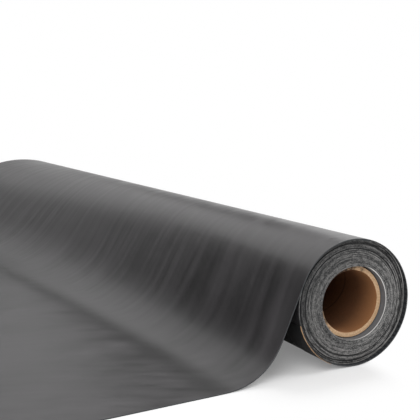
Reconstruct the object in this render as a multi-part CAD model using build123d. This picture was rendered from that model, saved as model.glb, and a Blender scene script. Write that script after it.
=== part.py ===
"""Roll of rubber roofing membrane on a cardboard core, with its loose end pulled off over the ground.

The roll lies on its side. Its axis runs along Y, with the near end towards -Y, and the origin is on the
axis, halfway along the core. The sheet comes over the top of the roll, leaves it towards -X and lies flat
on the ground. It leaves low down at the near edge and at the top at the far edge, so the drape between
them is twisted, and the sheet lies a little askew. All lengths are in millimetres and all angles in degrees.
"""
from build123d import *
from math import cos, radians, sin
import os

# The cardboard core and how deep it sits inside the roll
core_bore_radius = 38.1
core_wall = 5.5
core_recess = 9.5
core_clearance = 0.1
core_rim_chamfer = 0.6

# The sheet and how it is wound
sheet_width = 1700.0
sheet_thickness = 1.2
turn_count = 28
seam_angle = 108.0
seam_bite = 0.25

# The ends: a shallow dish inside the outermost turn, where each turn has slid a little in or out
near_dish_at_core = 0.8
near_dish_at_rim = 6.5
far_dish_at_core = 2.5
far_dish_at_rim = 0.8
turn_wander = 0.4
wander_angle = 137.0

# The loose end at the near and far edges: it leaves the roll, bends over to a slope and levels out again
loose_length = 620.0
near_leaving_angle = 35.0
far_leaving_angle = 103.0
near_slope = 64.0
far_slope = 37.0
near_crown_radius = 60.0
far_crown_radius = 270.0
near_foot_radius = 75.0
far_foot_radius = 245.0
skew = 1.1
drape_sections = 13

# The strip of kraft paper caught under the drape, along the near rim
slip_width = 45.0
slip_thickness = 0.3
slip_stand_out = 2.5
slip_clearance = 0.05
slip_top_angle = -12.0
slip_bottom_angle = -62.0

core_radius = core_bore_radius + core_wall
bore_radius = core_radius + core_clearance
wound_radius = bore_radius + (turn_count - 1) * sheet_thickness
last_turn_rise = sheet_thickness - seam_bite
roll_radius = wound_radius + last_turn_rise
ground = -roll_radius
half_width = sheet_width / 2
outside = 5.0


def direction(angle):
    """The unit vector across the axis at an angle that starts on the drape's side and turns upwards."""
    return Vector(-cos(radians(angle)), 0, sin(radians(angle)))


def heading(angle):
    """The way the sheet runs where it passes an angle of the roll on its way down to the ground."""
    return Vector(-sin(radians(angle)), 0, -cos(radians(angle)))


# A spiral is drawn as half circles round two centres, a little to each side of the axis along the seam
drape_side_centre = direction(seam_angle) * (-last_turn_rise / 4)
back_side_centre = direction(seam_angle) * (last_turn_rise / 4)
drape_side_radius = wound_radius + last_turn_rise / 4
back_side_radius = drape_side_radius + last_turn_rise / 2


def arc(centre, radius, start, end):
    """An arc across the axis from one angle to another. A radius below zero bends the other way."""
    points = [centre + direction(angle) * radius for angle in (start, (start + end) / 2, end)]
    return ThreePointArc(*points)


def wound_body():
    """The wound turns as one solid, whose outline is one turn of the spiral with its step at the seam."""
    opposite = seam_angle - 180
    drape_half = arc(drape_side_centre, drape_side_radius, seam_angle, opposite)
    back_half = arc(back_side_centre, back_side_radius, opposite, opposite - 180)
    step = Line(back_half @ 1, drape_half @ 0)
    outline = make_face([drape_half, back_half, step])
    return Solid.extrude(outline.moved(Pos(0, -half_width, 0)).face(), Vector(0, sheet_width, 0))


def end_outline(at_core, at_rim):
    """The half section that is cut from one end: one flat land for each turn inside the outermost.

    Its points are a radius and a height, and a depth into the roll is a height below zero.
    """
    sunk_turns = turn_count - 2
    points = [(bore_radius - outside, outside)]
    for turn in range(sunk_turns):
        dish = between(at_core, at_rim, turn / (sunk_turns - 1))
        depth = dish + turn_wander * sin(radians(turn * wander_angle))
        inner = bore_radius + turn * sheet_thickness if turn else bore_radius - outside
        points.append((inner, -depth))
        points.append((bore_radius + (turn + 1) * sheet_thickness, -depth))
    points.append((points[-1][0], outside))
    return points


def end_cutter(side, at_core, at_rim):
    """The turned tool that shapes the end at -Y (side -1) or at +Y (side 1)."""
    section_plane = Plane((0, side * half_width, 0), x_dir=(1, 0, 0), z_dir=(0, 0, side))
    section = section_plane * make_face(Polyline(*end_outline(at_core, at_rim), close=True))
    return revolve(section, Axis.Y)


def between(near, far, share):
    """A value that changes evenly from the near edge (share 0) to the far edge (share 1)."""
    return near + (far - near) * share


def sheet_run(share, depth):
    """The edges of the loose end from the seam to its free edge, at a depth below its upper face.

    Round the roll, over the crown, straight down the slope, round the foot and flat along the ground.
    """
    leaving = between(near_leaving_angle, far_leaving_angle, share)
    steepest = 90 - between(near_slope, far_slope, share)
    crown = between(near_crown_radius, far_crown_radius, share)
    foot = between(near_foot_radius, far_foot_radius, share)
    upper_radius = drape_side_radius + last_turn_rise

    crown_centre = drape_side_centre + direction(leaving) * (upper_radius - crown)
    slope_top = crown_centre + direction(steepest) * crown
    slope_end_height = ground + sheet_thickness + foot * (1 - sin(radians(steepest)))
    slope_length = (slope_top.Z - slope_end_height) / cos(radians(steepest))
    foot_centre = slope_top + heading(steepest) * slope_length + direction(steepest) * foot

    wrap = arc(drape_side_centre, upper_radius - depth, seam_angle, leaving)
    over = arc(crown_centre, crown - depth, leaving, steepest)
    out = arc(foot_centre, -foot - depth, steepest, 90)
    slope = Line(over @ 1, out @ 0)
    upper_bends = radians((seam_angle - leaving) * upper_radius + (leaving - steepest) * crown + (90 - steepest) * foot)
    flat_length = loose_length - upper_bends - slope_length
    flat = Line(out @ 1, out @ 1 + heading(90) * flat_length)
    return [wrap, over, slope, out, flat]


def drape_section(share):
    """The closed outline of the loose end at one place along the axis, turned towards the near end by the skew."""
    upper = sheet_run(share, 0)
    lower = sheet_run(share, sheet_thickness)
    root = Line(lower[0] @ 0, upper[0] @ 0)
    free_edge = Line(upper[-1] @ 1, lower[-1] @ 1)
    outline = Wire([root, *upper, free_edge, *lower])
    seam = direction(seam_angle).X * roll_radius
    askew = Pos(seam, between(-half_width, half_width, share), 0) * Rot(0, 0, skew) * Pos(-seam, 0, 0)
    return outline.moved(askew)


def loose_end():
    """The sheet that has come off the roll, lofted through sections from the near to the far edge.

    It is ruled between its sections, because a sheet bends one way at a time, and its flat part stays flat.
    """
    sections = [drape_section(step / (drape_sections - 1)) for step in range(drape_sections)]
    return Solid.make_loft(sections, ruled=True)


def membrane():
    """The whole sheet: the wound turns with the loose end, their shaped ends and the bore."""
    bore = extrude(Plane.XZ.offset(-half_width - outside) * Circle(bore_radius), sheet_width + 2 * outside)
    sheet = wound_body() + loose_end() - bore
    sheet -= end_cutter(-1, near_dish_at_core, near_dish_at_rim)
    sheet -= end_cutter(1, far_dish_at_core, far_dish_at_rim)
    return sheet


def core_tube():
    """The cardboard tube that the sheet is wound on, set back inside both ends of the roll."""
    length = sheet_width - 2 * core_recess
    section = Circle(core_radius) - Circle(core_bore_radius)
    tube = extrude(Plane.XZ * section, length / 2, both=True)
    rims = tube.edges().filter_by(GeomType.CIRCLE)
    return chamfer(rims, core_rim_chamfer)


def paper_slip():
    """The kraft paper against the roll under the drape, standing a little out of the near end."""
    inner = drape_side_radius + slip_clearance
    outer = inner + slip_thickness
    inner_arc = arc(drape_side_centre, inner, slip_top_angle, slip_bottom_angle)
    outer_arc = arc(drape_side_centre, outer, slip_top_angle, slip_bottom_angle)
    sides = [Line(inner_arc @ end, outer_arc @ end) for end in (0, 1)]
    section = make_face([inner_arc, outer_arc, *sides])
    start = Pos(0, -half_width - slip_stand_out, 0)
    return Solid.extrude((start * section).face(), Vector(0, slip_width, 0))


def write(name, shape):
    """Saves one piece and prints what it holds."""
    shape.label = name
    export_step(shape, f"parts/{name}.step")
    print(name, "solids", len(shape.solids()), "volume", round(shape.volume), "valid", shape.is_valid)


os.makedirs("parts", exist_ok=True)
write("membrane", membrane())
write("core_tube", core_tube())
write("paper_slip", paper_slip())
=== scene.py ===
from math import cos, pi, radians, sin

import bpy
import numpy as np
from mathutils import Matrix, Vector


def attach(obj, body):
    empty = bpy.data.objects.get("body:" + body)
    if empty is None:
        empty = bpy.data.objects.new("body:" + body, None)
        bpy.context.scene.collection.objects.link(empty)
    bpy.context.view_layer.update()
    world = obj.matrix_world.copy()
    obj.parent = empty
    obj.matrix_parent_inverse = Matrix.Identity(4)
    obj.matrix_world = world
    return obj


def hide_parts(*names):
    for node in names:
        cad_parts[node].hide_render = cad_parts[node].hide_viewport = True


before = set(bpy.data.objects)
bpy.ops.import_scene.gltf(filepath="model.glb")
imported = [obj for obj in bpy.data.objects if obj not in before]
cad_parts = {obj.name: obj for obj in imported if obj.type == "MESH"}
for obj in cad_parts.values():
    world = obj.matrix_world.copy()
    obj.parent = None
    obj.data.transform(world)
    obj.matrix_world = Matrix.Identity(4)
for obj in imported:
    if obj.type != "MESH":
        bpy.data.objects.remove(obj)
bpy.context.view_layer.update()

MM = 0.001

# The core and the sheet, as the source has them
CORE_BORE_RADIUS = 38.1 * MM
CORE_WALL = 5.5 * MM
CORE_RECESS = 9.5 * MM
CORE_PLY = 0.6 * MM
SHEET_WIDTH = 1700 * MM
SHEET_THICKNESS = 1.2 * MM
TURN_COUNT = 28
BORE_RADIUS = 43.7 * MM
ROLL_RADIUS = 77.05 * MM
WOUND_RADIUS = 76.1 * MM
LAST_TURN_RISE = ROLL_RADIUS - WOUND_RADIUS
PITCH = (ROLL_RADIUS - BORE_RADIUS) / TURN_COUNT
SEAM_ANGLE = 108
HALF_WIDTH = SHEET_WIDTH / 2
CORE_END = HALF_WIDTH - CORE_RECESS
GROUND = -ROLL_RADIUS

# How deep the turns of each end lie beside the core and at the rim, and the turns that have slid in further:
# one in every so many, counted from the core
NEAR_DISH = (0.8 * MM, 6.5 * MM)
FAR_DISH = (2.5 * MM, 0.8 * MM)
GAP_TURN = 17.0
GAP_PERIOD = 5.5
GAP_BEAT = 2 * pi / GAP_PERIOD

# The way to the lower right in the near end's view, as X, Y and Z
LOWER_RIGHT = (0.8, 0.0, -0.6)

# The loose end at its near and far edges, with angles in degrees
LOOSE_LENGTH = 620 * MM
LEAVING_ANGLE = (35, 103)
SLOPE = (64, 37)
CROWN_RADIUS = (60 * MM, 270 * MM)
FOOT_RADIUS = (75 * MM, 245 * MM)
SKEW = 1.1

# The strip of paper under the drape
SLIP_ANGLES = (-12, -62)
SLIP_WIDTH = 45 * MM
SLIP_STAND_OUT = 2.5 * MM
SLIP_THICKNESS = 0.3 * MM


# Helpers

def linear(hex_colour):
    """An sRGB hex colour as the linear colour that a socket takes."""
    parts = [int(hex_colour[i:i + 2], 16) / 255 for i in (1, 3, 5)]
    return (*[c / 12.92 if c <= 0.04045 else ((c + 0.055) / 1.055) ** 2.4 for c in parts], 1)


def add(tree, kind, inputs=(), **settings):
    """Adds a node. Settings are its properties, and inputs gives each socket a value or a link."""
    node = tree.nodes.new(kind)
    for name, value in settings.items():
        setattr(node, name, value)
    for socket, value in dict(inputs).items():
        if isinstance(value, bpy.types.NodeSocket):
            tree.links.new(value, node.inputs[socket])
        else:
            node.inputs[socket].default_value = value
    return node


def new_material(name):
    """An empty node material, with its tree and its output node."""
    material = bpy.data.materials.new(name)
    material.use_nodes = True
    material.node_tree.nodes.clear()
    return material, material.node_tree, add(material.node_tree, "ShaderNodeOutputMaterial")


def between(near_and_far, share):
    """A value that changes evenly from the near edge (share 0) to the far edge (share 1)."""
    near, far = near_and_far
    return near + (far - near) * share


def direction(angle):
    """Unit vectors across the axis, as X and Z, at angles in degrees from -X upwards."""
    angle = np.radians(angle)
    return np.stack([-np.cos(angle), np.sin(angle)], axis=-1)


def heading(angle):
    """The way the sheet runs where it passes an angle of the roll on its way to the ground."""
    angle = np.radians(angle)
    return np.stack([-np.sin(angle), -np.cos(angle)], axis=-1)


def grid_mesh(name, points, closed_rows=False, closed_columns=False, uv=None):
    """A mesh of quads over an array of points, rows by columns, with a UV map in metres if one is given."""
    rows, columns = points.shape[:2]
    mesh = bpy.data.meshes.new(name)
    index = np.arange(rows * columns).reshape(rows, columns)
    if closed_rows:
        index = np.concatenate([index, index[:1]], axis=0)
    if closed_columns:
        index = np.concatenate([index, index[:, :1]], axis=1)
    quads = np.stack([index[:-1, :-1], index[1:, :-1], index[1:, 1:], index[:-1, 1:]], axis=-1).reshape(-1, 4)
    mesh.from_pydata(points.reshape(-1, 3).tolist(), [], quads.tolist())
    if uv is not None:
        layer = mesh.uv_layers.new(name="sheet")
        flat = uv.reshape(-1, 2)
        corners = np.zeros(len(mesh.loops), int)
        mesh.loops.foreach_get("vertex_index", corners)
        layer.data.foreach_set("uv", flat[corners].astype(np.float32).ravel())
    mesh.polygons.foreach_set("use_smooth", [True] * len(mesh.polygons))
    mesh.update()
    return mesh


def place(name, mesh, materials=()):
    """A new object of a mesh in the row frame, at the origin."""
    piece = bpy.data.objects.new(name, mesh)
    bpy.context.scene.collection.objects.link(piece)
    for material in materials:
        mesh.materials.append(material)
    return piece


def settled(piece):
    """The piece with its modifiers made part of its mesh."""
    bpy.context.view_layer.update()
    depsgraph = bpy.context.evaluated_depsgraph_get()
    mesh = bpy.data.meshes.new_from_object(piece.evaluated_get(depsgraph), preserve_all_data_layers=True,
                                           depsgraph=depsgraph)
    piece.modifiers.clear()
    piece.data = mesh
    mesh.name = piece.name
    return piece


# The camera

def make_camera():
    """The photograph's viewpoint: low, off the roll's near end, a little down and slightly rolled."""
    eye = Vector((-0.5426, -1.6583, 0.2524))
    yaw, pitch, roll = radians(24.07), radians(7.95), radians(-2.54)
    forward = Vector((cos(pitch) * sin(yaw), cos(pitch) * cos(yaw), -sin(pitch)))
    level_right = Vector((cos(yaw), -sin(yaw), 0))
    level_up = level_right.cross(forward)
    right = level_right * cos(roll) + level_up * sin(roll)
    up = level_up * cos(roll) - level_right * sin(roll)
    camera = bpy.data.objects.new("camera", bpy.data.cameras.new("camera"))
    bpy.context.scene.collection.objects.link(camera)
    camera.matrix_world = Matrix((
        (right.x, up.x, -forward.x, eye.x),
        (right.y, up.y, -forward.y, eye.y),
        (right.z, up.z, -forward.z, eye.z),
        (0, 0, 0, 1),
    ))
    camera.data.sensor_width = 36
    camera.data.lens = 71.57
    camera.data.clip_start = 0.05
    camera.data.clip_end = 60
    bpy.context.scene.camera = camera


make_camera()


# Materials

def epdm_face():
    """EPDM rubber, calendered and dusted with talc: black, semi-matt, with a soft sheen and faint streaks."""
    material, tree, output = new_material("EPDM sheet, calendered and talced")
    uv = add(tree, "ShaderNodeUVMap", uv_map="sheet").outputs["UV"]
    # The streaks wander a little off the sheet's length, over about 300 mm
    drift = add(tree, "ShaderNodeTexNoise", {"Vector": uv, "Scale": 3.3, "Detail": 1.0},
                noise_dimensions="2D")
    bend = add(tree, "ShaderNodeVectorMath", {0: drift.outputs["Color"], 1: (0.5, 0.5, 0.5)},
               operation="SUBTRACT")
    drifted = add(tree, "ShaderNodeVectorMath", {0: bend.outputs[0], 1: (0.0, 0.05, 0.0), 2: uv},
                  operation="MULTIPLY_ADD")
    # Soft talc streaks 26 mm wide and 300 mm long, with finer ones in them, run along the sheet on the roll
    roll_place = add(tree, "ShaderNodeMapping", {
        "Vector": drifted.outputs[0], "Scale": (300 * MM, 26 * MM, 1.0)}, vector_type="TEXTURE")
    roll_streaks = add(tree, "ShaderNodeTexNoise", {
        "Vector": roll_place.outputs[0], "Scale": 1.0, "Detail": 1.0, "Roughness": 0.5},
        noise_dimensions="2D")
    # On the ground they are wiped marks 18 mm wide and 60 mm long, a little across the sheet
    wiped_place = add(tree, "ShaderNodeMapping", {
        "Vector": drifted.outputs[0], "Rotation": (0, 0, radians(26)), "Scale": (60 * MM, 18 * MM, 1.0)},
        vector_type="TEXTURE")
    wiped = add(tree, "ShaderNodeTexNoise", {
        "Vector": wiped_place.outputs[0], "Scale": 1.0, "Detail": 1.6, "Roughness": 0.5},
        noise_dimensions="2D")
    place_in = add(tree, "ShaderNodeTexCoord").outputs["Object"]
    axes = add(tree, "ShaderNodeSeparateXYZ", {0: place_in}).outputs
    height_above = axes["Z"]
    # Between 12 mm and 2.5 mm above the ground the look changes from the roll's to the ground's
    on_ground = add(tree, "ShaderNodeMapRange", {
        "Value": height_above, "From Min": GROUND + 12 * MM, "From Max": GROUND + 2.5 * MM},
        interpolation_type="SMOOTHSTEP")
    streaks = add(tree, "ShaderNodeMix", {
        0: on_ground.outputs[0], 2: roll_streaks.outputs["Fac"], 3: wiped.outputs["Fac"]})
    # Cloudy talc patches about 70 mm across and 120 mm long
    cloud_place = add(tree, "ShaderNodeMapping", {"Vector": uv, "Scale": (8.0, 14.0, 1.0)})
    clouds = add(tree, "ShaderNodeTexNoise", {"Vector": cloud_place.outputs[0], "Scale": 1.0, "Detail": 3.0},
                 noise_dimensions="2D")
    talc = add(tree, "ShaderNodeMath", {0: clouds.outputs["Fac"], 1: 1.2, 2: streaks.outputs[0]},
               operation="MULTIPLY_ADD")
    amount = add(tree, "ShaderNodeMapRange", {"Value": talc.outputs[0], "From Min": 0.5, "From Max": 1.7})
    # How far a point lies from the crease along X
    bow, slant, middle = crease_line()
    bowed = add(tree, "ShaderNodeMath", {0: axes["Y"], 1: -bow, 2: -slant}, operation="MULTIPLY_ADD")
    from_line = add(tree, "ShaderNodeMath", {0: bowed.outputs[0], 1: axes["Y"], 2: axes["X"]},
                    operation="MULTIPLY_ADD")
    off_line = add(tree, "ShaderNodeMath", {0: from_line.outputs[0], 1: -middle}, operation="ADD")
    aside = add(tree, "ShaderNodeMath", {0: off_line.outputs[0]}, operation="ABSOLUTE")
    # Painted shade: in a band about 50 mm wide there the talc is cut to a quarter, which shows the crease as
    # a soft dark line
    after_painted_shade = add(tree, "ShaderNodeMapRange", {
        "Value": aside.outputs[0], "From Min": 0.0, "From Max": 30 * MM, "To Min": 0.25, "To Max": 1.0},
        interpolation_type="SMOOTHSTEP")
    dust_and_painted_light = add(tree, "ShaderNodeMath", {0: amount.outputs[0], 1: after_painted_shade.outputs[0]}, operation="MULTIPLY")
    talced = add(tree, "ShaderNodeMix", {0: dust_and_painted_light.outputs[0], 6: linear("#070707"), 7: linear("#454345")},
                 data_type="RGBA")
    # Painted light: the top of the roll is made lighter, from 25 mm to 75 mm above the axis
    painted_top_light = add(tree, "ShaderNodeMapRange", {
        "Value": height_above, "From Min": 25 * MM, "From Max": 75 * MM, "To Min": 0.0, "To Max": 0.6})
    colour = add(tree, "ShaderNodeMix", {0: painted_top_light.outputs[0], 6: talced.outputs[2], 7: linear("#4e4c4d")},
                 data_type="RGBA")
    roughness = add(tree, "ShaderNodeMapRange", {"Value": amount.outputs[0], "To Min": 0.28, "To Max": 0.4})
    # The calender's grain, 2 mm here because the real 0.3 mm grain is too fine to show, on shallow ridges
    grain = add(tree, "ShaderNodeTexNoise", {"Vector": uv, "Scale": 500.0, "Detail": 2.0},
                noise_dimensions="2D")
    height = add(tree, "ShaderNodeMath", {0: grain.outputs["Fac"], 1: 0.02, 2: streaks.outputs[0]},
                 operation="MULTIPLY_ADD")
    # The ridges are lower on the ground
    relief = add(tree, "ShaderNodeMapRange", {"Value": on_ground.outputs[0], "To Min": 0.62, "To Max": 0.1})
    bump = add(tree, "ShaderNodeBump", {
        "Height": height.outputs[0], "Strength": relief.outputs[0], "Distance": 1.0 * MM})
    shader = add(tree, "ShaderNodeBsdfPrincipled", {
        "Base Color": colour.outputs[2], "Roughness": roughness.outputs[0], "IOR": 1.5,
        "Normal": bump.outputs[0]})
    tree.links.new(shader.outputs[0], output.inputs["Surface"])
    return material


def epdm_back():
    """The sheet's back, without talc: near black with a bluish cast, smooth, half matt."""
    material, tree, output = new_material("EPDM sheet, clean back")
    uv = add(tree, "ShaderNodeUVMap", uv_map="sheet").outputs["UV"]
    # Faint handling marks about 40 mm across
    marks = add(tree, "ShaderNodeTexNoise", {"Vector": uv, "Scale": 25.0, "Detail": 3.0},
                noise_dimensions="2D")
    colour = add(tree, "ShaderNodeMix", {0: marks.outputs["Fac"], 6: linear("#0b0d10"), 7: linear("#15181c")},
                 data_type="RGBA")
    roughness = add(tree, "ShaderNodeMapRange", {
        "Value": marks.outputs["Fac"], "To Min": 0.48, "To Max": 0.62})
    shader = add(tree, "ShaderNodeBsdfPrincipled", {
        "Base Color": colour.outputs[2], "Roughness": roughness.outputs[0], "IOR": 1.5})
    tree.links.new(shader.outputs[0], output.inputs["Surface"])
    return material


def epdm_cut_edge():
    """EPDM where the slitter's knife cut it: near black with a bluish cast, clean, slightly glossy."""
    material, tree, output = new_material("EPDM slit edge")
    place_in = add(tree, "ShaderNodeTexCoord").outputs["Object"]
    # Knife chatter about 1.5 mm apart
    chatter = add(tree, "ShaderNodeTexNoise", {"Vector": place_in, "Scale": 650.0, "Detail": 1.0})
    colour = add(tree, "ShaderNodeMix", {
        0: chatter.outputs["Fac"], 6: linear("#0f1215"), 7: linear("#2b2f33")}, data_type="RGBA")
    bump = add(tree, "ShaderNodeBump", {
        "Height": chatter.outputs["Fac"], "Strength": 0.3, "Distance": 0.1 * MM})
    shader = add(tree, "ShaderNodeBsdfPrincipled", {
        "Base Color": colour.outputs[2], "Roughness": 0.45, "IOR": 1.5, "Normal": bump.outputs[0]})
    tree.links.new(shader.outputs[0], output.inputs["Surface"])
    return material


def epdm_turn_ends():
    """Slit EPDM edges as the roll's end: each turn a fine ring, greyed by dust, with dark lines between,
    partly painted shade, and painted light and highlights.
    """
    material, tree, output = new_material("EPDM turns, dusted slit edges")
    turn = add(tree, "ShaderNodeAttribute", attribute_name="turn", attribute_type="GEOMETRY").outputs["Fac"]
    place_in = add(tree, "ShaderNodeTexCoord").outputs["Object"]
    axes = add(tree, "ShaderNodeSeparateXYZ", {0: place_in})
    # A ring keeps its grey for about a quarter of a turn, and the next one has its own
    rings = add(tree, "ShaderNodeTexNoise", {"W": turn, "Scale": 3.7, "Detail": 1.0, "Roughness": 0.5},
                noise_dimensions="1D")
    # Near the core the rings are even, and in the outer third they stand out
    plain = add(tree, "ShaderNodeMapRange", {"Value": turn, "From Min": 9.0, "From Max": 19.0,
                                             "To Min": 0.3, "To Max": 0.4})
    bold = add(tree, "ShaderNodeMapRange", {"Value": turn, "From Min": 9.0, "From Max": 19.0,
                                            "To Min": 0.7, "To Max": 0.6})
    ring = add(tree, "ShaderNodeMapRange", {"Value": rings.outputs["Fac"], "From Min": plain.outputs[0],
                                            "From Max": bold.outputs[0]})
    # Torn rubber and dust along the rings: flecks about 6 mm long and one turn wide
    flat = add(tree, "ShaderNodeCombineXYZ", {"X": axes.outputs["X"], "Z": axes.outputs["Z"]})
    way = add(tree, "ShaderNodeVectorMath", {0: flat.outputs[0]}, operation="NORMALIZE")
    ring_place = add(tree, "ShaderNodeMath", {0: turn, 1: 0.11}, operation="MULTIPLY")
    flecks = add(tree, "ShaderNodeTexNoise", {
        "Vector": way.outputs[0], "W": ring_place.outputs[0], "Scale": 10.0, "Detail": 1.5, "Roughness": 0.6},
        noise_dimensions="4D")
    # Specks of dust about 1 mm across
    specks = add(tree, "ShaderNodeTexNoise", {
        "Vector": place_in, "Scale": 900.0, "Detail": 1.5, "Roughness": 0.7})
    spread = add(tree, "ShaderNodeMath", {0: flecks.outputs["Fac"], 1: 3.0, 2: ring.outputs[0]},
                 operation="MULTIPLY_ADD")
    dust = add(tree, "ShaderNodeMath", {0: specks.outputs["Fac"], 1: 3.0, 2: spread.outputs[0]},
               operation="MULTIPLY_ADD")
    amount = add(tree, "ShaderNodeMapRange", {"Value": dust.outputs[0], "From Min": 2.9, "From Max": 5.0})
    # In the outer third one turn in every few has slid in, and its colour is darkened as painted shade in the
    # gap, with breaks along its way
    beat = add(tree, "ShaderNodeMath", {0: turn, 1: GAP_BEAT, 2: -GAP_BEAT * GAP_TURN},
               operation="MULTIPLY_ADD")
    beaten = add(tree, "ShaderNodeMath", {0: beat.outputs[0]}, operation="COSINE")
    broken = add(tree, "ShaderNodeMath", {0: rings.outputs["Fac"], 1: 0.9, 2: beaten.outputs[0]},
                 operation="MULTIPLY_ADD")
    sunk = add(tree, "ShaderNodeMapRange", {"Value": broken.outputs[0], "From Min": 1.2, "From Max": 1.3})
    outer = add(tree, "ShaderNodeMapRange", {"Value": turn, "From Min": 14.0, "From Max": 16.0})
    gap = add(tree, "ShaderNodeMath", {0: sunk.outputs[0], 1: outer.outputs[0]}, operation="MULTIPLY")
    left = add(tree, "ShaderNodeMath", {0: gap.outputs[0], 1: -0.85, 2: 1.0}, operation="MULTIPLY_ADD")
    # Painted light and shade: the end is lighter towards the lower right and darker towards the upper left
    lean = add(tree, "ShaderNodeVectorMath", {0: place_in, 1: [part / ROLL_RADIUS for part in LOWER_RIGHT]},
               operation="DOT_PRODUCT")
    painted_lower_right_light = add(tree, "ShaderNodeMapRange", {
        "Value": lean.outputs["Value"], "From Min": -1.0, "From Max": 1.0, "To Min": 0.32, "To Max": 0.88})
    after_painted_shade = add(tree, "ShaderNodeMath", {0: amount.outputs[0], 1: left.outputs[0]}, operation="MULTIPLY")
    dust_and_painted_light = add(tree, "ShaderNodeMath", {0: after_painted_shade.outputs[0], 1: painted_lower_right_light.outputs[0]},
                operation="MULTIPLY")
    grey = add(tree, "ShaderNodeMix", {0: dust_and_painted_light.outputs[0], 6: linear("#0e0f10"), 7: linear("#b3b1af")},
               data_type="RGBA")
    # Painted highlights: the innermost turn's edge is made white on the right, and so is the one under the
    # last, in places
    rises = add(tree, "ShaderNodeMapRange", {"Value": turn, "From Min": 0.5, "From Max": 0.62})
    falls = add(tree, "ShaderNodeMapRange", {"Value": turn, "From Min": 0.95, "From Max": 0.985,
                                             "To Min": 1.0, "To Max": 0.0})
    painted_light_by_core = add(tree, "ShaderNodeMath", {0: rises.outputs[0], 1: falls.outputs[0]}, operation="MULTIPLY")
    last_rises = add(tree, "ShaderNodeMapRange", {"Value": turn, "From Min": 25.55, "From Max": 25.65})
    last_falls = add(tree, "ShaderNodeMapRange", {"Value": turn, "From Min": 25.85, "From Max": 25.95,
                                                  "To Min": 1.0, "To Max": 0.0})
    by_rim = add(tree, "ShaderNodeMath", {0: last_rises.outputs[0], 1: last_falls.outputs[0]},
                 operation="MULTIPLY")
    by_rim_highlight = add(tree, "ShaderNodeMath", {0: by_rim.outputs[0], 1: ring.outputs[0]},
                      operation="MULTIPLY")
    painted_light_mask = add(tree, "ShaderNodeMath", {0: painted_light_by_core.outputs[0], 1: by_rim_highlight.outputs[0]},
                 operation="MAXIMUM")
    colour = add(tree, "ShaderNodeMix", {0: painted_light_mask.outputs[0], 6: grey.outputs[2], 7: linear("#c2c0bd")},
                 data_type="RGBA")
    bump = add(tree, "ShaderNodeBump", {
        "Height": specks.outputs["Fac"], "Strength": 0.5, "Distance": 0.2 * MM})
    shader = add(tree, "ShaderNodeBsdfPrincipled", {
        "Base Color": colour.outputs[2], "Roughness": 0.62, "IOR": 1.5, "Normal": bump.outputs[0]})
    tree.links.new(shader.outputs[0], output.inputs["Surface"])
    return material


def epdm_inner_face():
    """The wound sheet's back, seen where a turn stands proud: smooth, near black, painted grey beside the
    core as a reflection.
    """
    material, tree, output = new_material("EPDM sheet, back of a turn")
    turn = add(tree, "ShaderNodeAttribute", attribute_name="turn", attribute_type="GEOMETRY").outputs["Fac"]
    place_in = add(tree, "ShaderNodeTexCoord").outputs["Object"]
    # Faint smears about 8 mm across
    smears = add(tree, "ShaderNodeTexNoise", {"Vector": place_in, "Scale": 120.0, "Detail": 2.0})
    # Painted reflection: the innermost turn's back, which is the bore's wall, is made grey
    painted_light_by_core = add(tree, "ShaderNodeMapRange", {"Value": turn, "From Min": 1.0, "From Max": 1.1,
                                               "To Min": 0.85, "To Max": 0.0})
    dust = add(tree, "ShaderNodeMath", {0: smears.outputs["Fac"], 1: 0.3, 2: painted_light_by_core.outputs[0]},
               operation="MULTIPLY_ADD")
    colour = add(tree, "ShaderNodeMix", {0: dust.outputs[0], 6: linear("#0e1114"), 7: linear("#676a6e")},
                 data_type="RGBA")
    shader = add(tree, "ShaderNodeBsdfPrincipled", {
        "Base Color": colour.outputs[2], "Roughness": 0.55, "IOR": 1.5})
    tree.links.new(shader.outputs[0], output.inputs["Surface"])
    return material


def kraft_tube():
    """Spiral-wound kraft board: brown, matt and fibrous, with a helical seam, made paler by its mouths as
    painted light.
    """
    material, tree, output = new_material("kraft board, spiral wound")
    place_in = add(tree, "ShaderNodeTexCoord").outputs["Object"]
    axes = add(tree, "ShaderNodeSeparateXYZ", {0: place_in})
    angle = add(tree, "ShaderNodeMath", {0: axes.outputs["Z"], 1: axes.outputs["X"]}, operation="ARCTAN2")
    # The liner's strip is 110 mm wide, so its seam climbs 110 mm a turn
    climb = add(tree, "ShaderNodeMath", {0: axes.outputs["Y"], 1: 2 * pi / 0.11, 2: angle.outputs[0]},
                operation="MULTIPLY_ADD")
    wave = add(tree, "ShaderNodeMath", {0: climb.outputs[0]}, operation="COSINE")
    seam = add(tree, "ShaderNodeMapRange", {"Value": wave.outputs[0], "From Min": 0.994, "From Max": 0.9995})
    # Paper fibres about 3 mm long
    fibre = add(tree, "ShaderNodeTexNoise", {
        "Vector": place_in, "Scale": 330.0, "Detail": 4.0, "Roughness": 0.65})
    board = add(tree, "ShaderNodeMix", {0: fibre.outputs["Fac"], 6: linear("#593924"), 7: linear("#7c5334")},
                data_type="RGBA")
    lined = add(tree, "ShaderNodeMix", {0: seam.outputs[0], 6: board.outputs[2], 7: linear("#543521")},
                data_type="RGBA")
    # Painted light: the last 40 mm at each end are made paler, where light reaches into the bore
    from_middle = add(tree, "ShaderNodeMath", {0: axes.outputs["Y"]}, operation="ABSOLUTE")
    painted_light_mask = add(tree, "ShaderNodeMapRange", {
        "Value": from_middle.outputs[0], "From Min": HALF_WIDTH - 50 * MM, "From Max": CORE_END})
    painted_mouth_light = add(tree, "ShaderNodeMix", {0: painted_light_mask.outputs[0], 6: lined.outputs[2], 7: linear("#9b6b43")},
               data_type="RGBA")
    bump = add(tree, "ShaderNodeBump", {
        "Height": fibre.outputs["Fac"], "Strength": 0.4, "Distance": 0.2 * MM})
    shader = add(tree, "ShaderNodeBsdfPrincipled", {
        "Base Color": painted_mouth_light.outputs[2], "Roughness": 0.75, "IOR": 1.5, "Normal": bump.outputs[0]})
    tree.links.new(shader.outputs[0], output.inputs["Surface"])
    return material


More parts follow.
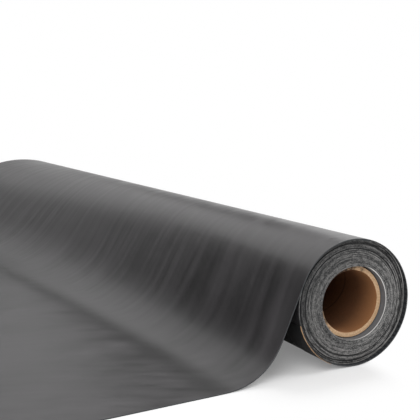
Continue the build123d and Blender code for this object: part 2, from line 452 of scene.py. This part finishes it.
def kraft_rim():
    """The tube's sawn rim: pale tan, with its plies as fine rings and frayed fibres."""
    material, tree, output = new_material("kraft board, sawn rim")
    place_in = add(tree, "ShaderNodeTexCoord").outputs["Object"]
    axes = add(tree, "ShaderNodeSeparateXYZ", {0: place_in})
    across = add(tree, "ShaderNodeCombineXYZ", {"X": axes.outputs["X"], "Z": axes.outputs["Z"]})
    radius = add(tree, "ShaderNodeVectorMath", {0: across.outputs[0]}, operation="LENGTH")
    # One ring for each ply of the board
    ply = add(tree, "ShaderNodeMath", {0: radius.outputs["Value"], 1: 2 * pi / CORE_PLY},
              operation="MULTIPLY")
    ring = add(tree, "ShaderNodeMath", {0: ply.outputs[0]}, operation="SINE")
    fray = add(tree, "ShaderNodeTexNoise", {
        "Vector": place_in, "Scale": 420.0, "Detail": 4.0, "Roughness": 0.7})
    amount = add(tree, "ShaderNodeMath", {0: ring.outputs[0], 1: 0.22, 2: fray.outputs["Fac"]},
                 operation="MULTIPLY_ADD")
    tan = add(tree, "ShaderNodeMix", {0: amount.outputs[0], 6: linear("#94693f"), 7: linear("#efcfa9")},
              data_type="RGBA")
    # Painted shade: its upper left is darkened in patches about 6 mm across, where the recess shades it
    lean = add(tree, "ShaderNodeVectorMath", {
        0: place_in, 1: [part / CORE_BORE_RADIUS for part in LOWER_RIGHT]}, operation="DOT_PRODUCT")
    patches = add(tree, "ShaderNodeTexNoise", {
        "Vector": place_in, "Scale": 160.0, "Detail": 3.0, "Roughness": 0.6})
    patchy_painted_shade = add(tree, "ShaderNodeMath", {0: patches.outputs["Fac"], 1: 1.6, 2: lean.outputs["Value"]},
                  operation="MULTIPLY_ADD")
    painted_rim_shade = add(tree, "ShaderNodeMapRange", {"Value": patchy_painted_shade.outputs[0], "From Min": 0.15, "From Max": 0.6,
                                             "To Min": 1.0, "To Max": 0.0})
    colour = add(tree, "ShaderNodeMix", {0: painted_rim_shade.outputs[0], 6: tan.outputs[2], 7: linear("#3c2818")},
                 data_type="RGBA")
    bump = add(tree, "ShaderNodeBump", {"Height": amount.outputs[0], "Strength": 0.5, "Distance": 0.25 * MM})
    shader = add(tree, "ShaderNodeBsdfPrincipled", {
        "Base Color": colour.outputs[2], "Roughness": 0.85, "IOR": 1.5, "Normal": bump.outputs[0]})
    tree.links.new(shader.outputs[0], output.inputs["Surface"])
    return material


def kraft_paper():
    """Unbleached kraft paper: tan and matt where it stands out, painted black further in as the shade under
    the drape.
    """
    material, tree, output = new_material("kraft paper, unbleached")
    place_in = add(tree, "ShaderNodeTexCoord").outputs["Object"]
    flecks = add(tree, "ShaderNodeTexNoise", {
        "Vector": place_in, "Scale": 500.0, "Detail": 4.0, "Roughness": 0.7})
    # The paper's own tan, which the painted shade covers further in
    clean = add(tree, "ShaderNodeMix", {0: flecks.outputs["Fac"], 6: linear("#8d6c4a"), 7: linear("#d3ac84")},
                data_type="RGBA")
    # Painted shade: the black begins about at the roll's end, with an uneven border
    border = add(tree, "ShaderNodeTexNoise", {"Vector": place_in, "Scale": 220.0, "Detail": 2.0})
    along = add(tree, "ShaderNodeSeparateXYZ", {0: place_in}).outputs["Y"]
    uneven = add(tree, "ShaderNodeMath", {0: border.outputs["Fac"], 1: 3 * MM, 2: along},
                 operation="MULTIPLY_ADD")
    painted_shade_under_drape = add(tree, "ShaderNodeMapRange", {
        "Value": uneven.outputs[0], "From Min": -HALF_WIDTH + 0.6 * MM, "From Max": -HALF_WIDTH + 1.6 * MM})
    colour = add(tree, "ShaderNodeMix", {0: painted_shade_under_drape.outputs[0], 6: clean.outputs[2], 7: linear("#0d0d0e")},
                 data_type="RGBA")
    bump = add(tree, "ShaderNodeBump", {
        "Height": flecks.outputs["Fac"], "Strength": 0.3, "Distance": 0.1 * MM})
    shader = add(tree, "ShaderNodeBsdfPrincipled", {
        "Base Color": colour.outputs[2], "Roughness": 0.7, "IOR": 1.5, "Normal": bump.outputs[0]})
    tree.links.new(shader.outputs[0], output.inputs["Surface"])
    return material


# The loose end, with the roll's outermost turn

DRAPE_CENTRE = direction(SEAM_ANGLE) * (-LAST_TURN_RISE / 4)
DRAPE_RADIUS = WOUND_RADIUS + LAST_TURN_RISE / 4 + LAST_TURN_RISE
STEP = 1 * MM


def shares_of(length):
    """Shares of a stretch of the path from 0 up to just before 1, for points about a millimetre apart."""
    return np.linspace(0, 1, max(2, int(length / STEP) + 1))[:-1, None]


def upper_path(share):
    """The sheet's upper face at one place along the axis, from under the outermost turn to the free edge.

    The second value is where it comes down on the ground.
    """
    leaving = between(LEAVING_ANGLE, share)
    steepest = 90 - between(SLOPE, share)
    crown = between(CROWN_RADIUS, share)
    foot = between(FOOT_RADIUS, share)
    crown_centre = DRAPE_CENTRE + direction(leaving) * (DRAPE_RADIUS - crown)
    slope_top = crown_centre + direction(steepest) * crown
    slope_end_height = GROUND + SHEET_THICKNESS + foot * (1 - sin(radians(steepest)))
    slope_length = (slope_top[1] - slope_end_height) / cos(radians(steepest))
    foot_centre = slope_top + heading(steepest) * slope_length + direction(steepest) * foot
    bends = (SEAM_ANGLE - leaving) * DRAPE_RADIUS + (leaving - steepest) * crown + (90 - steepest) * foot
    flat_length = LOOSE_LENGTH - radians(bends) - slope_length
    flat_start = foot_centre - direction(90) * foot

    turn = shares_of(2 * pi * ROLL_RADIUS)
    wound = direction(SEAM_ANGLE + 360 * (1 - turn[:, 0])) * (ROLL_RADIUS - PITCH * (1 - turn))
    wrap = shares_of(radians(SEAM_ANGLE - leaving) * DRAPE_RADIUS)
    over = shares_of(radians(leaving - steepest) * crown)
    slope = shares_of(slope_length)
    out = shares_of(radians(90 - steepest) * foot)
    flat = np.append(shares_of(flat_length), [[1.0]], axis=0)
    return np.concatenate([
        wound,
        DRAPE_CENTRE + direction(SEAM_ANGLE + (leaving - SEAM_ANGLE) * wrap[:, 0]) * DRAPE_RADIUS,
        crown_centre + direction(leaving + (steepest - leaving) * over[:, 0]) * crown,
        slope_top + heading(steepest) * slope_length * slope,
        foot_centre - direction(steepest + (90 - steepest) * out[:, 0]) * foot,
        flat_start + heading(90) * flat_length * flat,
    ]), flat_start[0]


def eased(path, leaving):
    """The path with its changes of bend smoothed over about 25 mm, as a stiff sheet bends.

    It starts 20 mm before the leaving line and comes in over 50 mm, and it fades out over the last 50 mm.
    """
    reach = 30
    softness = 11.0
    weights = np.exp(-0.5 * (np.arange(-reach, reach + 1) / softness) ** 2)
    weights /= weights.sum()
    padded = np.concatenate([path[:1].repeat(reach, 0), path, path[-1:].repeat(reach, 0)])
    soft = np.stack([np.convolve(padded[:, axis], weights, "valid") for axis in (0, 1)], axis=1)
    steps = np.append(0, np.cumsum(np.linalg.norm(np.diff(path, axis=0), axis=1)))
    start = 2 * pi * ROLL_RADIUS + radians(SEAM_ANGLE - leaving) * DRAPE_RADIUS
    rise = np.clip((steps - start + 20 * MM) / (50 * MM), 0, 1)
    fall = np.clip((steps[-1] - steps) / (50 * MM), 0, 1)
    ramp = np.minimum(rise, fall)
    share = (ramp ** 2 * (3 - 2 * ramp))[:, None]
    return path * (1 - share) + soft * share


def swell(past_landing, station):
    """How far the sheet stands off the ground past its landing line: a stiff sheet rises again by up to 2 mm.

    It lies flat again at its near edge and towards its free edge.
    """
    share = np.maximum(past_landing, 0) / (60 * MM)
    inside = np.clip(station / (150 * MM), 0, 1) ** 2
    return 3.0 * MM * inside * share * np.exp(1 - share) * np.exp(-share / 2)


def askew(x, station, past_seam):
    """X and Y of points on the sheet, which runs a little towards the near end past the seam."""
    past = np.where(past_seam, direction(SEAM_ANGLE)[0] * ROLL_RADIUS - x, 0)
    return x + past * (1 - cos(radians(SKEW))), station - HALF_WIDTH - past * sin(radians(SKEW))


def crease_line():
    """The crease, 5 mm past where the sheet comes down, as A, B and C of X = A Y squared + B Y + C."""
    shares = np.linspace(0, 1, 9)
    landings = np.array([upper_path(share)[1] for share in shares])
    x, y = askew(landings, shares * SHEET_WIDTH, True)
    return np.polyfit(y, x - 5 * MM, 2)


def sheet_points(rows, stations):
    """The upper face as rows along the sheet and columns across it, and the same points on the flat sheet."""
    columns, lengths = [], []
    # From the far edge to the near one, so that the faces point up and outwards
    for station in stations[::-1]:
        share = station / SHEET_WIDTH
        path, landing = upper_path(share)
        after_seam = np.arange(len(path)) > 2 * pi * ROLL_RADIUS / STEP
        path[:, 1] += np.where(after_seam, swell(landing - path[:, 0], station), 0)
        path = eased(path, between(LEAVING_ANGLE, share))
        steps = np.append(0, np.cumsum(np.linalg.norm(np.diff(path, axis=0), axis=1)))
        wanted = np.linspace(0, steps[-1], rows)
        x, z = (np.interp(wanted, steps, path[:, axis]) for axis in (0, 1))
        x, y = askew(x, station, wanted > 2 * pi * ROLL_RADIUS)
        columns.append(np.stack([x, y, z], axis=1))
        lengths.append(np.stack([wanted, np.full(rows, station)], axis=1))
    return np.stack(columns, axis=1), np.stack(lengths, axis=1)


def loose_end():
    """The outermost turn and the drape as one thin closed sheet, cut edges and all."""
    inner_stations = np.linspace(12 * MM, SHEET_WIDTH - 12 * MM, 58)
    # Close to the edges the columns stand closer, so that the edges stay crisp
    stations = np.concatenate([[0, 0.6 * MM, 4 * MM], inner_stations,
                               [SHEET_WIDTH - 4 * MM, SHEET_WIDTH - 0.6 * MM, SHEET_WIDTH]])
    points, lengths = sheet_points(220, stations)
    piece = place("loose_end", grid_mesh("loose_end", points, uv=lengths), [FACE, EDGE, BACK])
    solidify = piece.modifiers.new("gauge", "SOLIDIFY")
    solidify.thickness = SHEET_THICKNESS
    solidify.offset = -1
    solidify.material_offset_rim = 1
    solidify.material_offset = 2
    solidify.use_even_offset = True
    return settled(piece)


# The wound turns

def wound_turns_tree():
    """Winds a strip of sheet in a spiral and slides each turn a little in or out, as turns lie in a roll."""
    tree = bpy.data.node_groups.new("wound turns", "GeometryNodeTree")
    tree.interface.new_socket("Geometry", in_out="OUTPUT", socket_type="NodeSocketGeometry")
    sizes = {
        "Turns": TURN_COUNT - 1, "Points a turn": 80, "Inner radius": BORE_RADIUS, "Pitch": PITCH,
        "Thickness": PITCH - 0.02 * MM, "Width": SHEET_WIDTH, "Turning": 0.0,
        "Near dish at core": NEAR_DISH[0], "Near dish at rim": NEAR_DISH[1],
        "Far dish at core": FAR_DISH[0], "Far dish at rim": FAR_DISH[1],
        "Wander": 0.7 * MM, "Seed": 4.0, "Slid in": 1.6 * MM, "Slid in from": 14.5,
    }
    for name, value in sizes.items():
        kind = "NodeSocketInt" if name == "Points a turn" else "NodeSocketFloat"
        tree.interface.new_socket(name, in_out="INPUT", socket_type=kind).default_value = value
    for name in ("Edge rubber", "Back rubber"):
        tree.interface.new_socket(name, in_out="INPUT", socket_type="NodeSocketMaterial")
    given = add(tree, "NodeGroupInput").outputs

    middle = add(tree, "ShaderNodeMath", {0: given["Thickness"], 1: 0.5, 2: given["Inner radius"]},
                 operation="MULTIPLY_ADD")
    outer = add(tree, "ShaderNodeMath", {0: given["Turns"], 1: given["Pitch"], 2: middle.outputs[0]},
                operation="MULTIPLY_ADD")
    spiral = add(tree, "GeometryNodeCurveSpiral", {
        "Resolution": given["Points a turn"], "Rotations": given["Turns"],
        "Start Radius": middle.outputs[0], "End Radius": outer.outputs[0], "Height": 0.0, "Reverse": True})
    along = add(tree, "GeometryNodeSplineParameter")
    turn = add(tree, "ShaderNodeMath", {0: along.outputs["Index"], 1: given["Points a turn"]},
               operation="DIVIDE")
    numbered = add(tree, "GeometryNodeStoreNamedAttribute", {
        "Geometry": spiral.outputs[0], "Name": "turn", "Value": turn.outputs[0]},
        data_type="FLOAT", domain="POINT")
    strip = add(tree, "GeometryNodeCurvePrimitiveQuadrilateral", {
        "Width": given["Thickness"], "Height": given["Width"]}, mode="RECTANGLE")
    wound = add(tree, "GeometryNodeCurveToMesh", {
        "Curve": numbered.outputs[0], "Profile Curve": strip.outputs[0], "Fill Caps": True})

    # How deep each point of an edge lies: the end's dish, and the slip, which changes from turn to turn
    place_in = add(tree, "ShaderNodeSeparateXYZ", {0: add(tree, "GeometryNodeInputPosition").outputs[0]})
    flat = add(tree, "ShaderNodeCombineXYZ", {"X": place_in.outputs["X"], "Y": place_in.outputs["Y"]})
    radius = add(tree, "ShaderNodeVectorMath", {0: flat.outputs[0]}, operation="LENGTH").outputs["Value"]
    number = add(tree, "GeometryNodeInputNamedAttribute", {"Name": "turn"}, data_type="FLOAT").outputs[0]
    seeded = add(tree, "ShaderNodeMath", {0: number, 1: 1.7, 2: given["Seed"]}, operation="MULTIPLY_ADD")
    slip = add(tree, "ShaderNodeTexNoise", {"W": seeded.outputs[0], "Scale": 1.0, "Detail": 2.0},
               noise_dimensions="1D")
    slipped = add(tree, "ShaderNodeMath", {0: slip.outputs["Fac"], 1: 0.5}, operation="SUBTRACT")
    wander = add(tree, "ShaderNodeMath", {0: slipped.outputs[0], 1: given["Wander"]}, operation="MULTIPLY")
    dish = {}
    for end in ("Near", "Far"):
        dish[end] = add(tree, "ShaderNodeMapRange", {
            "Value": radius, "From Min": given["Inner radius"], "From Max": outer.outputs[0],
            "To Min": given[f"{end} dish at core"], "To Max": given[f"{end} dish at rim"]}).outputs[0]
    # The last turn stands out with the outermost one
    proud_from = add(tree, "ShaderNodeMath", {0: given["Turns"], 1: 1.25}, operation="SUBTRACT")
    proud_to = add(tree, "ShaderNodeMath", {0: given["Turns"], 1: 0.95}, operation="SUBTRACT")
    sunk = add(tree, "ShaderNodeMapRange", {
        "Value": number, "From Min": proud_from.outputs[0], "From Max": proud_to.outputs[0],
        "To Min": 1.0, "To Max": 0.0}, interpolation_type="SMOOTHSTEP")
    near_dish = add(tree, "ShaderNodeMath", {0: dish["Near"], 1: sunk.outputs[0]}, operation="MULTIPLY")
    # In the outer third one turn in every few has slid in further
    beat = add(tree, "ShaderNodeMath", {0: number, 1: GAP_BEAT, 2: -GAP_BEAT * GAP_TURN},
               operation="MULTIPLY_ADD")
    beaten = add(tree, "ShaderNodeMath", {0: beat.outputs[0]}, operation="COSINE")
    slid_in = add(tree, "ShaderNodeMapRange", {
        "Value": beaten.outputs[0], "From Min": 0.7, "From Max": 0.85, "To Max": given["Slid in"]})
    outer_third = add(tree, "ShaderNodeMath", {0: number, 1: given["Slid in from"]}, operation="GREATER_THAN")
    uneven = add(tree, "ShaderNodeMath", {
        0: slid_in.outputs[0], 1: outer_third.outputs[0], 2: wander.outputs[0]}, operation="MULTIPLY_ADD")
    near_depth = add(tree, "ShaderNodeMath", {0: near_dish.outputs[0], 1: uneven.outputs[0]}, operation="ADD")
    far_depth = add(tree, "ShaderNodeMath", {0: dish["Far"], 1: wander.outputs[0]}, operation="ADD")
    near_shift = add(tree, "ShaderNodeMath", {0: near_depth.outputs[0], 1: -1.0}, operation="MULTIPLY")
    is_near = add(tree, "FunctionNodeCompare", {0: place_in.outputs["Z"], 1: 0.0},
                  data_type="FLOAT", operation="GREATER_THAN")
    shift = add(tree, "GeometryNodeSwitch", {
        "Switch": is_near.outputs[0], "False": far_depth.outputs[0], "True": near_shift.outputs[0]},
        input_type="FLOAT")
    offset = add(tree, "ShaderNodeCombineXYZ", {"Z": shift.outputs[0]})
    slid = add(tree, "GeometryNodeSetPosition", {"Geometry": wound.outputs[0], "Offset": offset.outputs[0]})

    # Stood on its side, with its last edge where the outermost turn begins
    turning = add(tree, "ShaderNodeCombineXYZ", {"X": radians(90), "Y": given["Turning"]})
    laid = add(tree, "GeometryNodeTransform", {"Geometry": slid.outputs[0], "Rotation": turning.outputs[0]})
    bend = add(tree, "GeometryNodeInputMeshEdgeAngle").outputs["Unsigned Angle"]
    is_sharp = add(tree, "FunctionNodeCompare", {0: bend, 1: radians(30)}, data_type="FLOAT",
                   operation="GREATER_THAN")
    sharp = add(tree, "GeometryNodeStoreNamedAttribute", {
        "Geometry": laid.outputs[0], "Name": "sharp_edge", "Value": is_sharp.outputs[0]},
        data_type="BOOLEAN", domain="EDGE")
    smooth = add(tree, "GeometryNodeSetShadeSmooth", {"Geometry": sharp.outputs[0]})
    real = add(tree, "GeometryNodeRealizeInstances", {0: smooth.outputs[0]})
    edges = add(tree, "GeometryNodeSetMaterial", {
        "Geometry": real.outputs[0], "Material": given["Edge rubber"]})
    facing = add(tree, "ShaderNodeSeparateXYZ", {0: add(tree, "GeometryNodeInputNormal").outputs[0]})
    upright = add(tree, "ShaderNodeMath", {0: facing.outputs["Y"]}, operation="ABSOLUTE")
    is_wide_face = add(tree, "FunctionNodeCompare", {0: upright.outputs[0], 1: 0.5}, data_type="FLOAT",
                       operation="LESS_THAN")
    dressed = add(tree, "GeometryNodeSetMaterial", {
        "Geometry": edges.outputs[0], "Selection": is_wide_face.outputs[0], "Material": given["Back rubber"]})
    add(tree, "NodeGroupOutput", {0: dressed.outputs[0]})
    return tree


def wound_turns():
    """The 27 turns under the outermost one."""
    tree = wound_turns_tree()
    piece = place("wound_turns", bpy.data.meshes.new("wound_turns"), [TURNS, INNER])
    modifier = piece.modifiers.new("wound turns", "NODES")
    modifier.node_group = tree
    identifier = {item.name: item.identifier for item in tree.interface.items_tree if item.in_out == "INPUT"}
    modifier[identifier["Edge rubber"]] = TURNS
    modifier[identifier["Back rubber"]] = INNER
    # The spiral ends at a whole turn, which is +X before it is turned to the seam
    modifier[identifier["Turning"]] = radians(SEAM_ANGLE - 180)
    return settled(piece)


# The core and the paper

def lathe(profile, segments, wear):
    """Points turned round the Y axis from (radius, y) pairs, one row a pair, with the wear put on them."""
    angles = np.linspace(0, 2 * pi, segments, endpoint=False)
    radius = np.array([p[0] for p in profile])[:, None].repeat(segments, 1)
    y = np.array([p[1] for p in profile])[:, None].repeat(segments, 1)
    radius, y = wear(radius, y, angles)
    return np.stack([radius * np.cos(angles), y, radius * np.sin(angles)], axis=-1)


def crushed(radius, y, angles):
    """The rims as a saw and handling leave them: out of round by a fraction of a millimetre, and nicked."""
    rng = np.random.default_rng(11)
    near_rim = np.clip(1 - (CORE_END - np.abs(y)) / (2 * MM), 0, 1)
    waves = (2, 3, 5, 9, 14)
    out_of_round = sum(np.sin(angles * n + rng.uniform(0, 2 * pi)) * 0.22 * MM / n ** 0.5 for n in waves)
    nicks = np.zeros_like(angles)
    for _ in range(9):
        centre, width, depth = rng.uniform(0, 2 * pi), rng.uniform(0.03, 0.09), rng.uniform(0.2, 0.7) * MM
        gap = np.abs((angles - centre + pi) % (2 * pi) - pi)
        nicks += depth * np.clip(1 - gap / width, 0, 1)
    inner = np.clip(1 - (radius - CORE_BORE_RADIUS) / (3 * MM), 0, 1)
    pressed = near_rim * (nicks * inner + 0.15 * MM * inner)
    return radius + near_rim * inner * out_of_round, y - np.sign(y) * pressed


def core():
    """The kraft tube, with its plies standing a little apart at the sawn rims."""
    end = CORE_END
    outer = CORE_BORE_RADIUS + CORE_WALL
    rim = [(outer, end - 6 * MM), (outer, end - 0.7 * MM), (outer - 0.25 * MM, end - 0.15 * MM)]
    for ply in range(9):
        r = outer - 0.3 * MM - ply * CORE_PLY
        rim += [(r, end - 0.12 * MM), (r - 0.12 * MM, end - 0.02 * MM), (r - 0.42 * MM, end - 0.02 * MM)]
    rim += [(CORE_BORE_RADIUS + 0.1 * MM, end - 0.3 * MM), (CORE_BORE_RADIUS, end - 0.9 * MM),
            (CORE_BORE_RADIUS, end - 6 * MM)]
    profile = rim + [(r, -y) for r, y in reversed(rim)]
    segments = 180
    points = lathe(profile, segments, crushed)
    mesh = grid_mesh("cardboard_core", points, closed_rows=True, closed_columns=True)
    mesh.materials.append(BOARD)
    mesh.materials.append(RIM)
    rows = len(profile)
    # The sawn faces start and end a few rows inside each rim's profile
    first, last = 2, len(rim) - 3
    slots = np.zeros((rows, segments), int)
    slots[first:last] = 1
    slots[rows - 1 - last:rows - 1 - first] = 1
    mesh.polygons.foreach_set("material_index", slots.ravel())
    return place("cardboard_core", mesh)


def slip():
    """The paper that stands out from under the drape, with a slightly waved edge."""
    angles = np.linspace(*SLIP_ANGLES, 60)
    across = np.linspace(1, 0, 12)
    start = -HALF_WIDTH - SLIP_STAND_OUT
    rows = []
    for angle in angles:
        wave = 0.35 * MM * sin(radians(angle * 9)) + 0.2 * MM * sin(radians(angle * 23 + 40))
        lift = (0.12 + 0.1 * sin(radians(angle * 14))) * MM
        y = start + 0.4 * MM + wave * (1 - across) + SLIP_WIDTH * across
        radius = DRAPE_RADIUS - LAST_TURN_RISE + SLIP_THICKNESS + 0.05 * MM + lift * (1 - across)
        flat = DRAPE_CENTRE + direction(angle) * radius[:, None]
        rows.append(np.stack([flat[:, 0], y, flat[:, 1]], axis=1))
    piece = place("kraft_slip", grid_mesh("kraft_slip", np.stack(rows)), [PAPER])
    solidify = piece.modifiers.new("gauge", "SOLIDIFY")
    solidify.thickness = SLIP_THICKNESS
    solidify.offset = -1
    return settled(piece)


FACE = epdm_face()
BACK = epdm_back()
EDGE = epdm_cut_edge()
TURNS = epdm_turn_ends()
INNER = epdm_inner_face()
BOARD = kraft_tube()
RIM = kraft_rim()
PAPER = kraft_paper()

LOOSE = loose_end()
WOUND = wound_turns()
CORE = core()
SLIP = slip()


def finish_piece(piece, node):
    """The piece stands for its node, whose part is hidden, and rides on the one body."""
    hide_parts(node)
    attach(piece, "root")


finish_piece(LOOSE, "membrane")
finish_piece(WOUND, "membrane")
finish_piece(CORE, "core_tube")
finish_piece(SLIP, "paper_slip")


# Floor and light

def shown_to(tree, rays):
    """1 for the rays that show the white background: the camera's, mirrored ones and ones through glass."""
    seen = add(tree, "ShaderNodeMath", {0: rays["Is Camera Ray"], 1: rays["Is Glossy Ray"]},
               operation="MAXIMUM")
    shown = add(tree, "ShaderNodeMath", {0: seen.outputs[0], 1: rays["Is Transmission Ray"]},
                operation="MAXIMUM")
    return shown.outputs[0]


def make_floor():
    """A plain white floor that keeps the shadow, and is as white as the room behind it further off."""
    mesh = bpy.data.meshes.new("floor")
    reach = 14
    corners = [(x * reach, y * reach, GROUND) for x, y in ((-1, -1), (1, -1), (1, 1), (-1, 1))]
    mesh.from_pydata(corners, [], [(0, 1, 2, 3)])
    material, tree, output = new_material("white studio floor")
    place_in = add(tree, "ShaderNodeTexCoord").outputs["Object"]
    # How far a point is outside the ground under the loose end, up to just short of the roll's axis
    middle = (-0.29, 0.0, GROUND)
    half_size = (0.28, 0.86, 0.0)
    from_middle = add(tree, "ShaderNodeVectorMath", {0: place_in, 1: middle}, operation="SUBTRACT")
    each_way = add(tree, "ShaderNodeVectorMath", {0: from_middle.outputs[0]}, operation="ABSOLUTE")
    beyond = add(tree, "ShaderNodeVectorMath", {0: each_way.outputs[0], 1: half_size}, operation="SUBTRACT")
    outside = add(tree, "ShaderNodeVectorMath", {0: beyond.outputs[0], 1: (0.0, 0.0, 0.0)},
                  operation="MAXIMUM")
    # Beside the roll the shadow ends sooner than in front of it
    weighed = add(tree, "ShaderNodeVectorMath", {0: outside.outputs[0], 1: (2.5, 1.0, 0.0)},
                  operation="MULTIPLY")
    away = add(tree, "ShaderNodeVectorMath", {0: weighed.outputs[0]}, operation="LENGTH")
    distant = add(tree, "ShaderNodeMapRange", {
        "Value": away.outputs["Value"], "From Min": 0.0, "From Max": 0.1}, interpolation_type="SMOOTHSTEP")
    rays = add(tree, "ShaderNodeLightPath").outputs
    shown = shown_to(tree, rays)
    white_by_ray = add(tree, "ShaderNodeMath", {0: distant.outputs[0], 1: shown}, operation="MULTIPLY")
    # The shadow that the camera sees is never darker than a mid grey
    least = add(tree, "ShaderNodeMath", {0: rays["Is Camera Ray"], 1: 0.2}, operation="MULTIPLY")
    share = add(tree, "ShaderNodeMath", {0: white_by_ray.outputs[0], 1: least.outputs[0]},
                operation="MAXIMUM")
    lit = add(tree, "ShaderNodeBsdfDiffuse", {"Color": (1.0, 1.0, 1.0, 1)})
    white = add(tree, "ShaderNodeEmission", {"Color": (1.0, 1.0, 1.0, 1), "Strength": 1.0})
    both = add(tree, "ShaderNodeMixShader", {0: share.outputs[0], 1: lit.outputs[0], 2: white.outputs[0]})
    tree.links.new(both.outputs[0], output.inputs["Surface"])
    floor = place("floor", mesh, [material])


def make_flag(name, posts, shades):
    """A grey cloth flag beyond the object, graded from left to right, which shows only mirrored in the sheet.

    Each post is its X, its Y and the heights of the cloth's lower and upper edge over the floor. The shades
    are an X and its grey, at the left and at the right.
    """
    mesh = bpy.data.meshes.new(name)
    corners = [(x, y, GROUND + height) for x, y, *heights in posts for height in heights]
    panels = [(n, n + 2, n + 3, n + 1) for n in range(0, len(corners) - 2, 2)]
    mesh.from_pydata(corners, [], panels)
    material, tree, output = new_material(f"{name} cloth")
    place_in = add(tree, "ShaderNodeTexCoord").outputs["Object"]
    along = add(tree, "ShaderNodeSeparateXYZ", {0: place_in}).outputs["X"]
    (left, left_grey), (right, right_grey) = shades
    grade = add(tree, "ShaderNodeMapRange", {
        "Value": along, "From Min": left, "From Max": right, "To Min": left_grey, "To Max": right_grey})
    shader = add(tree, "ShaderNodeBsdfDiffuse", {"Color": grade.outputs[0]})
    tree.links.new(shader.outputs[0], output.inputs["Surface"])
    flag = place(name, mesh, [material])
    flag.visible_camera = False
    flag.visible_shadow = False


def make_world():
    """An even soft white room, seen as plain white behind the object."""
    world = bpy.data.worlds.new("studio")
    bpy.context.scene.world = world
    world.use_nodes = True
    tree = world.node_tree
    tree.nodes.clear()
    shown = shown_to(tree, add(tree, "ShaderNodeLightPath").outputs)
    strength = add(tree, "ShaderNodeMapRange", {"Value": shown, "To Min": 0.5, "To Max": 1.0})
    background = add(tree, "ShaderNodeBackground", {"Color": (1, 1, 1, 1), "Strength": strength.outputs[0]})
    output = add(tree, "ShaderNodeOutputWorld")
    tree.links.new(background.outputs[0], output.inputs["Surface"])


def make_lamp(name, place_at, aim, watts):
    """A soft lamp 1.6 m square that faces a point."""
    light = bpy.data.lights.new(name, "AREA")
    light.shape = "SQUARE"
    light.size = 1.6
    light.energy = watts
    lamp = bpy.data.objects.new(name, light)
    bpy.context.scene.collection.objects.link(lamp)
    lamp.location = place_at
    lamp.rotation_euler = (Vector(aim) - Vector(place_at)).to_track_quat("-Z", "Y").to_euler()


make_floor()
make_flag("left flag", posts=(
    (-4.5, -1.2, 0.05, 2.5), (-2.0, 1.45, 0.05, 2.2), (-1.3, 2.2, 0.05, 1.8), (-0.35, 3.2, 0.05, 1.4),
    (0.25, 3.2, 0.05, 1.3)), shades=((-1.6, 0.04), (-0.25, 0.9)))
make_flag("back flag", posts=(
    (-0.2, 3.0, 0.4, 0.64), (0.35, 3.0, 0.56, 0.88), (0.75, 3.0, 0.74, 1.2), (1.15, 3.0, 0.9, 1.95),
    (2.1, 3.0, 1.1, 2.35)), shades=((-0.2, 0.22), (1.1, 0.03)))
make_world()
make_lamp("key softbox", (-1.3, -2.4, 1.7), aim=(0, -0.5, 0), watts=32)
make_lamp("right fill", (1.8, -1.6, 1.9), aim=(0, -0.3, 0), watts=20)
make_lamp("top fill", (1.0, 0.5, 2.0), aim=(0, 0.1, 0), watts=18)
bpy.context.scene.view_settings.view_transform = "Standard"
